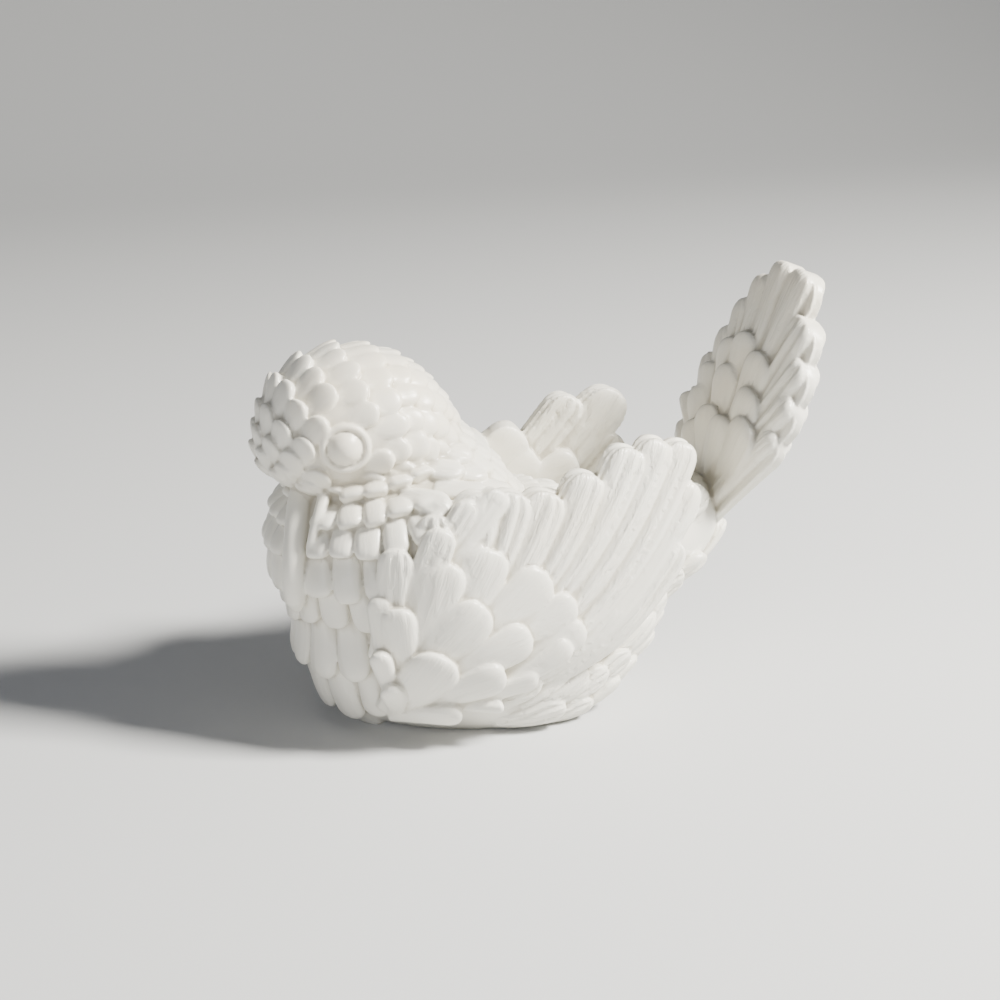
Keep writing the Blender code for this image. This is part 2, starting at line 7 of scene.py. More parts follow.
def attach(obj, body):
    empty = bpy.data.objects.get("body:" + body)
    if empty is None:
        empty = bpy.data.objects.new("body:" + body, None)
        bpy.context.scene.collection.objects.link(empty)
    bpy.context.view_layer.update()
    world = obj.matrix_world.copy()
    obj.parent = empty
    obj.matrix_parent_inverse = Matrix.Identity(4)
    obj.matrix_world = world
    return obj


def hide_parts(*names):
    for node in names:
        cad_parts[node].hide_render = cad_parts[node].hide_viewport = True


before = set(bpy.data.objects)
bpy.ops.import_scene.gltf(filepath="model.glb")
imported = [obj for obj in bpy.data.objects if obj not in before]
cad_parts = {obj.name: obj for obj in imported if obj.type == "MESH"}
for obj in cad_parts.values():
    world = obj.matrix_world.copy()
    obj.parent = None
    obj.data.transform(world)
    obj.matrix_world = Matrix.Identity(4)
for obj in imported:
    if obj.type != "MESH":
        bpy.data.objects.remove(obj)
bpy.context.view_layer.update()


# The body. The real bird was modelled in clay and cast in one piece, so the
# body is a few ellipsoids pressed together until they share one soft skin.
# Sizes are millimetres; the bird faces -X, its left side is -Y, Z is up.

BODY_LUMPS = (  # centre, radii, tilt in degrees about Y
    ((-19, 0, 43.5), (28.5, 28.5, 25.0), 0),  # breast
    ((-8.5, 0, 22), (33.5, 28.0, 27.0), 0),  # under the breast
    ((12, 0, 25), (35.0, 28.6, 25.5), 0),  # belly
    ((5.5, 0, 11), (30.0, 29.3, 17.0), 0),  # keel
    ((42, 0, 35), (25.0, 16.0, 14.0), 30),  # rump
    ((-15, 0, 57), (16.0, 17.0, 14.0), -40),  # nape
    ((-5, -19.5, 37), (26.0, 12.0, 17.0), -8),  # shoulders
    ((-5, 19.5, 37), (26.0, 12.0, 17.0), -8),
    ((-10.5, -21.4, 46.5), (17.5, 9.2, 12.0), -14),  # upper shoulders
    ((-10.5, 21.4, 46.5), (17.5, 9.2, 12.0), -14),
)
BODY_HEART = np.array([-5.0, 0, 33])
CLAY_BLEND = 6.0
SIDEWAYS = np.array([0, 1.0, 0])
ALMOST_NOTHING = 1e-12  # stands in for zero in a division
SAMPLE = 0.05  # how far to each side a slope is measured
LANDINGS = 4
LONGEST_WAY_OUT = 140.0
HALVINGS = 30
POLE_GAP = 0.02  # radians round each pole, closed by a point


def unit(v):
    """Vectors divided by their length."""
    return v / np.maximum(np.linalg.norm(v, axis=-1, keepdims=True), ALMOST_NOTHING)


def mix(a, b, t):
    """From a at t = 0 to b at t = 1, in a straight line."""
    return a + (b - a) * t


class Clay:
    """Ellipsoids blended into one skin.

    depth = distance to each ellipsoid, joined by the smooth minimum
    mix(a, b, h) - blend h (1 - h) with h = half + half (a - b) / blend.
    """

    def __init__(self, lumps, blend):
        self.lumps = lumps
        self.blend = blend

    def depth(self, p):
        total = None
        for centre, radii, tilt in self.lumps:
            a = np.radians(tilt)
            q = p - np.array(centre, float)
            along = q[..., 0] * np.cos(a) + q[..., 2] * np.sin(a)
            upright = q[..., 2] * np.cos(a) - q[..., 0] * np.sin(a)
            q = np.stack([along, q[..., 1], upright], -1)
            r = np.array(radii)
            k0 = np.linalg.norm(q / r, axis=-1)
            k1 = np.linalg.norm(q / r ** 2, axis=-1)
            f = k0 * (k0 - 1.0) / np.maximum(k1, ALMOST_NOTHING)
            if total is None:
                total = f
            else:
                h = np.clip(0.5 + 0.5 * (total - f) / self.blend, 0, 1)
                total = mix(total, f, h) - self.blend * h * (1 - h)
        return total

    def normal(self, p):
        """Slope of the depth: its change between two samples on each axis."""
        g = [self.depth(p + d) - self.depth(p - d) for d in np.eye(3) * SAMPLE]
        return unit(np.stack(g, -1))

    def land(self, p):
        """Points dropped on to the skin along its normal, with the normals."""
        for _ in range(LANDINGS):
            p = p - self.normal(p) * self.depth(p)[..., None]
        return p, self.normal(p)

    def cut(self, start, directions):
        """Where rays from a point inside leave the skin, by halving."""
        low = np.zeros(len(directions))
        high = np.full(len(directions), LONGEST_WAY_OUT)
        for _ in range(HALVINGS):
            middle = (low + high) / 2
            outside = self.depth(start + directions * middle[:, None]) > 0
            high = np.where(outside, middle, high)
            low = np.where(outside, low, middle)
        return start + directions * low[:, None]


class Carving:
    """Closed shapes that together make the bird, and the grain on them.

    The grain of a point is (across, along, tone, streak): millimetres across
    and along its feather, a number between 0 and 1 that each feather keeps,
    and how strongly its barbs show.
    """

    def __init__(self):
        self.points = []
        self.quads = []
        self.caps = []
        self.grained = []
        self.grain = []
        self.count = 0

    def add(self, rings, grain=None):
        """A tube of rings (stations, around, xyz), closed at both ends by a point."""
        rows, columns = rings.shape[:2]
        i, j = np.meshgrid(np.arange(rows - 1), np.arange(columns), indexing="ij")
        after = (j + 1) % columns
        quads = [i * columns + j, i * columns + after, (i + 1) * columns + after, (i + 1) * columns + j]
        j = np.arange(columns)
        after = (j + 1) % columns
        last = (rows - 1) * columns
        tail = rows * columns
        start = np.stack([np.full(columns, tail), after, j], -1)
        end = np.stack([np.full(columns, tail + 1), last + j, last + after], -1)
        self.points.append(np.vstack([rings.reshape(-1, 3), rings[0].mean(0), rings[-1].mean(0)]))
        self.quads.append(np.stack(quads, -1).reshape(-1, 4) + self.count)
        self.caps.append(np.vstack([start, end]) + self.count)
        self.count += tail + 2
        if grain is None:  # plain clay: every second point is enough
            self.grained.append(rings[::2, ::2].reshape(-1, 3))
            self.grain.append(np.zeros((len(self.grained[-1]), 4)))
        else:
            shown = grain.shape[1]
            self.grained.append(rings[:, :shown].reshape(-1, 3))
            self.grain.append(grain.reshape(-1, 4))


def clay_rings(clay, heart, rows, columns):
    """Skin of a clay form over the angles seen from its heart: polar by turn."""
    polar, turn = np.meshgrid(np.linspace(POLE_GAP, np.pi - POLE_GAP, rows),
                              np.linspace(0, 2 * np.pi, columns, endpoint=False), indexing="ij")
    rays = np.stack([np.sin(polar) * np.cos(turn), np.sin(polar) * np.sin(turn), np.cos(polar)], -1)
    return clay.cut(heart, rays.reshape(-1, 3)).reshape(rows, columns, 3)


bird = Carving()
body = Clay(BODY_LUMPS, CLAY_BLEND)
bird.add(clay_rings(body, BODY_HEART, rows=110, columns=160))


# The head. A ball of clay tucked down on the breast, all over small rounded
# scales that flow from the bill over the crown to the nape, with thick rims.

HEAD_LUMPS = (  # centre, radii, tilt in degrees about Y
    ((-31.0, 0, 72.3), (19.8, 18.4, 15.8), 0),  # face
    ((-30.6, 0, 76.6), (16.2, 15.4, 12.0), 0),  # crown
    ((-22.0, 0, 68.0), (18.0, 17.6, 15.4), -20),  # back of the head
    ((-35.5, 0, 67.0), (14.6, 14.5, 9.6), 0),  # cheeks
)
HEAD_HEART = np.array([-29.0, 0, 72])
HEAD_RADIUS = 20.0
BILL_POLE = unit(np.array([-0.53, 0, -0.85]))
NECK_POLE = unit(np.array([0.85, 0, -0.40]))
EYE_DIRECTION = unit(np.array([[-0.36, -0.93, -0.04]]))
EYE_CLEARANCE = 7.4
BARE_CHEEK = [1.0, 2.5, -8.5]  # its middle, from the near eye
BARE_CHEEK_RADIUS = 4.5
LOWEST_SCALE = 56.0
CHIN = -45.0  # in front of this the scales go lower
NEAREST_ROW = 0.33
FARTHEST_ROW = 4.2
SCALE_ROWS = 15
SCALE_SPACING = 6.0
SCALE_WIDTH = 6.2
SCALE_ROOT = 4.6
SCALE_TIP = 3.5

OVER = np.sin(np.linspace(-np.pi / 2, np.pi / 2, 23))  # shares of the half width, upper side
UNDER = np.linspace(0.85, -0.85, 4)  # and sunk side
TIP_SHARE = 0.55  # length of the rounded tip over the width
LONGEST_TIP = 0.7  # over the length
LAST_STATION = 1.5  # radians, short of a quarter turn so that the last ring has a size
RIB_SPLAY = 0.3  # how far the ribs lean out towards the edge
RIB_WANDER = 0.10  # sway of a rib, in half widths
WANDER_TURN = 4  # radians of that sway from root to tip
RIB_SHARPNESS = 1.5
RIB_STRENGTH = (0.55, 0.45)  # middle and swing, so that ribs come and go
STRENGTH_TURN = (9, 3)  # radians of that swing over a half width, and from root to tip
SHAFT_HALF_WIDTH = 0.6

chance = np.random.default_rng(11)


def feather(face, root, bend, tip, width, rise, crown=0.9, sink=1.8, root_share=0.65, squareness=2.2,
            flatness=2.6, stations=22, ribs=0, rib_depth=0.0, shaft=0.0, lean=0.0, uneven=0.05,
            sway=0.0, streak=0.5):
    """One feather laid on a face along a curved quill (u from root to tip, t across).

    half width = width/2 * swell(u) * (1 - v^q)^(1/q), v being the share of
    the rounded tip; height = mix(rise, u) + (crown + lean t) (1 - |t|^flatness)^(1/2)
    (1 - v^3)^(1/2) + shaft - ribs, with the ribs a cosine of t that spreads
    towards the edge; the underside is sunk in what carries it. uneven and sway
    let each feather's sizes and aim differ a little.
    """
    vary = 1 + uneven * chance.uniform(-1, 1, 3)
    tone = chance.uniform()
    phase = chance.uniform(0, 2 * np.pi)
    tip = root + (tip - root) * vary[0]
    aside = unit(np.cross(tip - root, face.land(root[None])[1][0]))
    tip = tip + aside * sway * width * chance.uniform(-1, 1)
    width = width * vary[1]
    length = np.linalg.norm(bend - root) + np.linalg.norm(tip - bend)
    tip_share = min(LONGEST_TIP, TIP_SHARE * width / length)
    early = np.linspace(0, 1 - tip_share, stations // 2, endpoint=False)
    late = 1 - tip_share + tip_share * np.sin(np.linspace(0, LAST_STATION, stations - stations // 2))
    u = np.concatenate([early, late])[:, None]
    quill = (1 - u) ** 2 * root + 2 * u * (1 - u) * bend + u ** 2 * tip
    course = 2 * (1 - u) * (bend - root) + 2 * u * (tip - bend)
    quill, normals = face.land(quill)
    side = unit(np.cross(course, normals))
    v = np.clip((u - (1 - tip_share)) / tip_share, 0, 1)
    swell = mix(root_share, 1, np.sin(np.clip(u / (1 - tip_share), 0, 1) * np.pi / 2))
    half = width / 2 * swell * (1 - v ** squareness) ** (1 / squareness)
    across = np.concatenate([OVER, UNDER])
    spread = quill[:, None] + side[:, None] * (half * across)[..., None]
    on_face, normals = face.land(spread)
    t = OVER[None]
    arch = np.sqrt(np.maximum(0, 1 - np.abs(t) ** flatness)) * np.sqrt(1 - v ** 3)
    height = mix(rise[0], rise[1] * vary[2], u) + (crown + lean * t) * arch
    if ribs:
        splay = t * (1 - RIB_SPLAY * u * np.abs(t)) + RIB_WANDER * np.sin(WANDER_TURN * u + phase)
        furrow = 0.5 - 0.5 * np.cos(np.pi * ribs * splay + phase)
        swing = np.sin(phase + STRENGTH_TURN[0] * t + STRENGTH_TURN[1] * u)
        strength = RIB_STRENGTH[0] + RIB_STRENGTH[1] * swing
        height = height - rib_depth * furrow ** RIB_SHARPNESS * arch * strength
    if shaft:
        height = height + shaft * np.exp(-(t * half / SHAFT_HALF_WIDTH) ** 2) * np.sqrt(1 - u) * arch
    height = np.hstack([height, np.full((len(u), len(UNDER)), -sink)])
    grain = np.stack(np.broadcast_arrays(t * half, u * length, tone, streak), -1)
    bird.add(on_face + normals * height[..., None], grain)


head = Clay(HEAD_LUMPS, CLAY_BLEND)
bird.add(clay_rings(head, HEAD_HEART, rows=80, columns=120))
near_eye = head.cut(HEAD_HEART, EYE_DIRECTION)[0]
eyes = (near_eye, near_eye * [1, -1, 1])

# A row of scales is the circle on which the way to the bill's pole is ratio
# times the way to the neck's pole; each scale points away from the bill.
for row, ratio in enumerate(np.geomspace(NEAREST_ROW, FARTHEST_ROW, SCALE_ROWS)):
    pole = BILL_POLE - ratio ** 2 * NECK_POLE
    offset = (1 - ratio ** 2) / np.linalg.norm(pole)
    pole = unit(pole)
    radius = np.sqrt(1 - offset ** 2)
    count = round(2 * np.pi * radius * HEAD_RADIUS / SCALE_SPACING)
    ahead = np.cross(SIDEWAYS, pole)
    for turn in 2 * np.pi * (np.arange(count) + 0.5 * (row % 2)) / count:
        ray = offset * pole + radius * (np.cos(turn) * ahead + np.sin(turn) * SIDEWAYS)
        spot = head.cut(HEAD_HEART, ray[None])[0]
        on_an_eye = min(np.linalg.norm(spot - eye) for eye in eyes) < EYE_CLEARANCE
        on_the_cheek = np.linalg.norm(spot - near_eye - BARE_CHEEK) < BARE_CHEEK_RADIUS
        below = spot[2] < LOWEST_SCALE and spot[0] > CHIN
        if on_an_eye or on_the_cheek or below:
            continue
        flow = (ray - BILL_POLE) / ((ray - BILL_POLE) @ (ray - BILL_POLE))
        flow = flow - (ray - NECK_POLE) / ((ray - NECK_POLE) @ (ray - NECK_POLE))
        flow = unit(flow - ray * (flow @ ray))
        feather(head, spot - flow * SCALE_ROOT, spot, spot + flow * SCALE_TIP, SCALE_WIDTH,
                rise=(-1.0, 1.35), crown=0.85, root_share=0.8, squareness=2.0, stations=18, lean=0.12,
                uneven=0.1, sway=0.12, streak=0.12)


# The eyes. Blank domes with no pupil, each in a raised round rim, pressed
# into the clay before the bird was moulded.

EYE_RADIUS = 4.2
EYE_SINK = 1.5
RIM_RADIUS = 5.0
RIM_THICKNESS = 0.85
RIM_SINK = 0.2

for eye in eyes:
    normal = head.normal(eye)
    heart = eye - normal * EYE_SINK
    dome = Clay([(tuple(heart), (EYE_RADIUS,) * 3, 0)], CLAY_BLEND)
    bird.add(clay_rings(dome, heart, rows=30, columns=40))
    side = unit(np.cross(normal, [0, 0, 1.0]))
    upright = np.cross(side, normal)
    around = np.linspace(0, 2 * np.pi, 61)[:, None]
    spoke = np.cos(around) * side + np.sin(around) * upright
    turn = np.linspace(0, 2 * np.pi, 16, endpoint=False)[None, :, None]
    tube = np.cos(turn) * spoke[:, None] + np.sin(turn) * normal
    ring = eye - normal * RIM_SINK + RIM_RADIUS * spoke
    bird.add(ring[:, None] + RIM_THICKNESS * tube)


# The bill. A blunt rod pressed down on the near half of the breast, with the
# thin lower bill beside it and the two ridges of the cere at its root.

BILL_TOP = np.array([-42.0, -3.5, 59.5])
BILL_BEND = np.array([-50.2, -18.5, 45.0])
BILL_TIP = np.array([-46.4, -11.5, 32.2])
BILL_THICKNESS = 5.6
BILL_PROFILE = np.array([1.0, 1.1, 1.02, 0.98, 0.96, 0.96, 1.0, 0.95, 0.45])  # shares, root to tip
LOWER_BILL = ([-38.8, -11.5, 60.5], [-42.6, -17.5, 54.5], [-44.8, -16.4, 48.0])
LOWER_THICKNESS = np.array([3.0, 3.0, 2.8, 2.2, 1.2])
CERE_REACH = 4.8  # of a ridge's root from the bill's middle
CERE_BACK = 1.5
CERE_UP = 0.5
CERE_BEND = 5  # station of the bill where a ridge bends
CERE_END = 15
CERE_THICKNESS = np.array([2.6, 3.0, 3.0, 2.6, 2.0, 1.0])


def curve(start, bend, end, count):
    """Points of a curve from start to end, pulled towards a bend: (1-u)^2, 2u(1-u), u^2."""
    u = np.linspace(0, 1, count)[:, None]
    return (1 - u) ** 2 * start + 2 * u * (1 - u) * bend + u ** 2 * end


def rod(path, thickness):
    """A round rod: a circle of each thickness, square to the path."""
    u = np.linspace(0, 1, len(path))
    thickness = np.interp(u, np.linspace(0, 1, len(thickness)), thickness)
    direction = unit(np.gradient(path, axis=0))
    side = unit(np.cross(direction, [0.0, 1.0, 0.1]))
    front = np.cross(direction, side)
    turn = np.linspace(0, 2 * np.pi, 24, endpoint=False)[None, :, None]
    ring = np.cos(turn) * side[:, None] + np.sin(turn) * front[:, None]
    bird.add(path[:, None] + ring * thickness[:, None, None] / 2)


upper_bill = curve(BILL_TOP, BILL_BEND, BILL_TIP, count=41)
rod(upper_bill, BILL_THICKNESS * BILL_PROFILE)
rod(curve(*LOWER_BILL, count=26), LOWER_THICKNESS)
for side in (-CERE_REACH, CERE_REACH):
    ridge_root = BILL_TOP + [CERE_BACK, side, CERE_UP]
    rod(curve(ridge_root, upper_bill[CERE_BEND], upper_bill[CERE_END], count=24), CERE_THICKNESS)


# The breast. Rows across it like tiles: squared scales above, long rounded
# tongues below, each row lapping over the next one down.

BREAST_ROWS = (  # level, width and length of the feathers
    (63.3, 6.2, 9), (59.1, 6.2, 9), (53.9, 6.4, 9.5), (45.9, 7.4, 11),
    (38.0, 8.0, 12), (26.2, 8.8, 15), (13.3, 8.8, 14), (4.5, 8.0, 12),
)
SQUARED_ROWS = 4
BREAST_TILT = np.radians(14)
BREAST_HUB = np.array([-14.0, 0, 36.0])
BREAST_REACH = np.radians(100)
BREAST_FRONT = -24.0  # the lowest row stays in front of this
LOWEST_ROW = 8.0  # below this a feather is one of the lowest row
BILL_BED = -11.0  # where the bill lies across the breast
BILL_BED_HALF = 4.2
BILL_BED_MARGIN = 2
ABOVE = 0.75  # share of a feather over its spot on the row; the tip is as far below as the bend above
BELOW = 0.25
BREAST_VANE = 0.95  # width over spacing


def staggered(count, row):
    """Places of a row's feathers, one apart; every other row is set on by half a feather."""
    return np.arange(count) + 0.25 + 0.5 * (row % 2)


down = np.array([np.sin(BREAST_TILT), 0, -np.cos(BREAST_TILT)])
fore = np.array([-np.cos(BREAST_TILT), 0, -np.sin(BREAST_TILT)])
for row, (level, width, length) in enumerate(BREAST_ROWS):
    squared = row < SQUARED_ROWS
    middle = BREAST_HUB - down * (level - BREAST_HUB[2])
    radius = np.linalg.norm(body.cut(middle, fore[None])[0] - middle)
    count = int(2 * BREAST_REACH * radius / width)
    turns = -BREAST_REACH + 2 * BREAST_REACH * staggered(count, row) / count
    rays = np.cos(turns)[:, None] * fore + np.sin(turns)[:, None] * SIDEWAYS
    for spot in body.cut(middle, rays):
        under_the_bill = abs(spot[1] - BILL_BED) < BILL_BED_HALF and spot[2] > BILL_TIP[2] + BILL_BED_MARGIN
        under_the_belly = spot[2] < LOWEST_ROW and spot[0] > BREAST_FRONT
        if under_the_bill or under_the_belly:
            continue
        feather(body, spot - down * length * ABOVE, spot - down * length * BELOW,
                spot + down * length * BELOW, width * BREAST_VANE, rise=(-1.3, 2.2), crown=1.7,
                root_share=0.92, squareness=3.6 if squared else 2.3, flatness=3.4 if squared else 2.4,
                stations=22, ribs=0 if squared else 2, rib_depth=0.25, lean=0.15, uneven=0.09,
                sway=0.1, streak=0.15)


# Back, flanks and rump. Rings of lance-shaped feathers about the body, all
# pointing back and up, finely ribbed; shorter ones lie over the mantle.

FLANK_HUB = np.array([-4.0, 0, 20])
FLANK_DIRECTION = unit(np.array([1.0, 0, 0.55]))
FLANK_LOWEST = 2
FLANK_FRONT = 4  # in front of this the flank's feathers stop at its top
FLANK_TOP = 45
MANTLE_HUB = np.array([-16.0, 0, 62])
MANTLE_DIRECTION = unit(np.array([0.66, 0, -0.75]))
MANTLE_FRONT = -25
COVERTS_BACK = -8  # in front of this the mantle stops over the wing's front coverts
COVERTS_TOP = 57


def rings_of_feathers(hub, direction, step, rows, arc_deg, width, length, keep, rise, **relief):
    """Feathers on circles about an axis: turn by row, each pointing along the axis."""
    upright = np.array([-direction[2], 0, direction[0]])
    reach = np.radians(arc_deg) / 2
    for row in range(rows):
        middle = hub + direction * row * step
        radius = np.linalg.norm(body.cut(middle, -SIDEWAYS[None])[0] - middle)
        count = int(2 * reach * radius / width)
        turns = -reach + 2 * reach * staggered(count, row) / count
        rays = np.cos(turns)[:, None] * upright + np.sin(turns)[:, None] * SIDEWAYS
        for spot in body.cut(middle, rays):
            if not keep(spot):
                continue
            normal = body.normal(spot)
            flow = unit(direction - normal * (direction @ normal))
            feather(body, spot - flow * length * 0.5, spot, spot + flow * length * 0.5, width,
                    rise, root_share=0.75, squareness=1.9, stations=26, **relief)


def on_the_flank(spot):
    """Off the ground, and not up on the mantle or in front of it."""
    return spot[2] > FLANK_LOWEST and not (spot[0] < FLANK_FRONT and spot[2] > FLANK_TOP)


def on_the_mantle(spot):
    """Behind the head, and clear of the wing's front coverts."""
    return spot[0] > MANTLE_FRONT and not (spot[0] < COVERTS_BACK and spot[2] < COVERTS_TOP)


rings_of_feathers(FLANK_HUB, FLANK_DIRECTION, step=7.6, rows=9, arc_deg=360, width=8.4, length=17,
                  keep=on_the_flank, rise=(-1.0, 1.7), crown=1.5, ribs=6, rib_depth=1.2,
                  uneven=0.12, sway=0.15, streak=1.0)
rings_of_feathers(MANTLE_HUB, MANTLE_DIRECTION, step=5.2, rows=6, arc_deg=250, width=6.6, length=12,
                  keep=on_the_mantle, rise=(-0.9, 2.6), crown=1.6, ribs=2, rib_depth=0.4,
                  sway=0.12, streak=0.4)


# The wings. Two shells that stand off the body, cast with it: long ribbed
# quills on both faces, and outside four laps of rounded coverts over them.

SHOULDER = (-29.1, 4.4)
WING_REACH = 34.0  # of the outer face from the bird's middle plane
WING_THICKNESS = 4.0
WING_SINK = WING_THICKNESS * 0.6
FRONT_EDGE = -5.0  # in front of this the face curves in, by FRONT_CURVE times the square
FRONT_CURVE = 0.011
REAR_EDGE = 5.0
REAR_CURVE = 0.0022
MIDDLE_LEVEL = 30.0
LOW_CURVE = 0.016
HIGH_CURVE = 0.0024
QUILL_BOW = 6  # degrees by which a quill's middle hangs below its ends
QUILL_VANE = 0.84  # width of the ribbed vane over that of its bed
BED_DEPTH = 1.2  # of the bed's tip below the vane's


class WingFace:
    """Outer or inner face of a raised wing.

    width(x, z) = reach less a square law in each of x and z beyond the middle.
    """

    def __init__(self, side, inset, outward):
        self.side = side
        self.inset = inset
        self.outward = outward

    def width(self, x, z):
        front = FRONT_CURVE * np.maximum(0, FRONT_EDGE - x) ** 2
        rear = REAR_CURVE * np.maximum(0, x - REAR_EDGE) ** 2
        low = LOW_CURVE * np.maximum(0, MIDDLE_LEVEL - z) ** 2
        high = HIGH_CURVE * np.maximum(0, z - MIDDLE_LEVEL) ** 2
        return WING_REACH - front - rear - low - high - self.inset

    def land(self, p):
        """Points moved sideways on to the face, with the face's normals there."""
        x, z = p[..., 0], p[..., 2]
        slope_x = (self.width(x + SAMPLE, z) - self.width(x - SAMPLE, z)) / (2 * SAMPLE)
        slope_z = (self.width(x, z + SAMPLE) - self.width(x, z - SAMPLE)) / (2 * SAMPLE)
        mirror = np.array([1, self.side, 1])
        points = np.stack([x, self.width(x, z), z], -1) * mirror
        normals = unit(np.stack([-slope_x, np.ones_like(x), -slope_z], -1)) * mirror
        return points, normals * self.outward

    def at(self, radius, angle):
        """A place given by its distance and angle in degrees from the shoulder."""
        a = np.radians(angle)
        return np.array([SHOULDER[0] + radius * np.cos(a), 0, SHOULDER[1] + radius * np.sin(a)])


def wing_feathers(face, table, bow=0.0, **relief):
    """Feathers of one lap, each given as (root radius, root angle, tip radius, tip angle, width)."""
    for root_radius, root_angle, tip_radius, tip_angle, width in table:
        bend = face.at((root_radius + tip_radius) / 2, (root_angle + tip_angle) / 2 - bow)
        feather(face, face.at(root_radius, root_angle), bend, face.at(tip_radius, tip_angle), width,
                **relief)


NEAR_QUILLS = (
    (18, 92, 44, 88, 10), (20, 83, 54, 79, 10.5), (24, 74, 61, 70, 11.5),
    (24, 65, 63.5, 63.6, 12), (24, 56, 67, 57, 11.5), (24, 47, 75.6, 51.4, 11), (24, 39, 86, 47.8, 10.5),
    (24, 30, 92, 44.8, 10), (24, 21, 96, 41.2, 10.5), (24, 15, 91, 36.4, 10.5), (24, 10, 80, 30.5, 11),
)
FAR_QUILLS = (
    (18, 92, 42, 87, 9), (20, 84, 49, 78, 9), (22, 76, 56, 68, 10), (24, 66, 60, 60, 10.5),
    (24, 56, 64, 53, 10.5), (24, 48, 72, 47.5, 10.5), (24, 38, 90.2, 43.3, 11), (24, 28, 99.3, 39.4, 14),
    (24, 18, 93, 33, 11), (24, 10, 81, 27, 11),
)
INNER_COVERTS = ((34, 58, 68, 52, 11.5), (34, 50, 75, 46.5, 12.5), (38, 45, 73.5, 40.6, 11.5),
                 (40, 39, 81, 34.8, 9.5), (30, 28, 70, 30, 10))
QUILL_COVERTS = ((30, 84, 59, 71.5, 6.5), (30, 79, 62.4, 66.5, 6.5), (32, 76, 50.5, 67, 9))
FRONT_COVERTS = ((22, 88, 45.5, 87.3, 8), (24, 82, 51.6, 77, 7.6))
LAP_D = ((26, 63, 49.8, 63.5, 10.8), (26, 54, 51.2, 47, 11.2), (27, 43, 52, 36, 9), (24, 28, 50, 29, 8))
LAP_C = ((16, 92, 34.6, 92.5, 6), (20, 75, 44.3, 74.2, 10.8), (17, 72, 37.5, 58, 11.4),
         (17, 51, 38.8, 38.6, 9.4), (20, 22, 45.5, 27.6, 6.2), (14, 28, 36.2, 22.7, 6.2))
LAP_B = ((14, 80, 32.8, 86.8, 8), (4, 66, 24.2, 61.9, 11.8), (9, 48, 29.2, 33.6, 9.2))
LAP_A = ((9, 84, 22.8, 94.3, 5), (4.5, 50, 14.6, 88, 5.8), (3, 50, 18, 22.4, 6.2), (16, 22, 26.8, 18.2, 3.2))

for side, quills in ((-1, NEAR_QUILLS), (1, FAR_QUILLS)):
    outer = WingFace(side, 0.0, 1.0)
    inner = WingFace(side, WING_THICKNESS, -1.0)
    vanes = [(*line, width * QUILL_VANE) for *line, width in quills]
    for face, lift, crown in ((outer, 0.9, 1.8), (inner, -0.2, 1.2)):
        wing_feathers(face, quills, bow=QUILL_BOW, rise=(-1.5, lift - BED_DEPTH), crown=0.6, root_share=0.6,
                      sink=WING_SINK, stations=30, uneven=0.0)
        wing_feathers(face, vanes, bow=QUILL_BOW, rise=(-0.8, lift), crown=crown, sink=WING_SINK,
                      root_share=0.5, squareness=2.4, flatness=2.0, stations=56, ribs=3, rib_depth=1.2,
                      shaft=0.3, uneven=0.0, lean=0.7, streak=1.0)
    wing_feathers(outer, QUILL_COVERTS, rise=(0.2, 1.6), crown=1.3, sink=4, stations=36, ribs=4,
                  rib_depth=0.7, uneven=0.02, streak=0.8)
    wing_feathers(outer, FRONT_COVERTS, rise=(1.2, 3.6), crown=1.2, sink=6, stations=36, ribs=7,
                  rib_depth=0.7, uneven=0.02, streak=0.8)
    wing_feathers(outer, LAP_D, rise=(0.2, 2.4), crown=1.4, sink=5, flatness=2.8, root_share=0.55,
                  squareness=2.4, stations=36, ribs=3, rib_depth=0.3, uneven=0.02)
    wing_feathers(outer, LAP_C, rise=(0.8, 3.3), crown=1.4, sink=5, flatness=2.8, root_share=0.6,
                  squareness=2.4, stations=36, ribs=3, rib_depth=0.3, uneven=0.02)
    wing_feathers(outer, LAP_B, rise=(0.2, 4.2), crown=1.5, sink=5, flatness=2.8, root_share=0.6,
                  squareness=2.4, stations=36, ribs=3, rib_depth=0.2, uneven=0.02)
    wing_feathers(outer, LAP_A, rise=(0.4, 4.9), crown=1.4, sink=5, root_share=0.5, stations=28,
                  uneven=0.02)
    wing_feathers(inner, INNER_COVERTS, rise=(0.8, 3.0), crown=1.5, sink=WING_SINK,
                  root_share=0.7, squareness=2.6, stations=36, ribs=2, rib_depth=0.25, uneven=0.0)


# The tail. A fan that rises from the rump: twelve long quills on both faces,
# and in front bold tongue-shaped coverts, three laps deep.

TAIL_ROOT = np.array([60.9, -1.0, 40.0])
TAIL_RISE = np.radians(69.0)
TAIL_HALF_THICKNESS = 1.6
TAIL_CAMBER = 0.004
TAIL_BED = 1.3  # width of a quill's bed over the listed width
TAIL_VANE = 0.86  # and of its ribbed vane
TAIL_SINK = 2.4
QUILL_START = -4  # along the fan, under the rump
QUILL_TURNS = (0.3, 0.85)  # shares of its angle that a quill has at its root and halfway
TAIL_COVERT = 20  # length of a covert
TAIL_COVERT_BEND = 9  # from its tip
COVERT_TURNS = (0.8, 0.97)  # shares of its angle that a covert has at its root and bend
COVERTS_IN_A_LAP = 4
FIRST_LIFT = 2.8  # of a covert's tip in the first lap
LAP_LIFT = 0.5  # more for each lap that lies over it


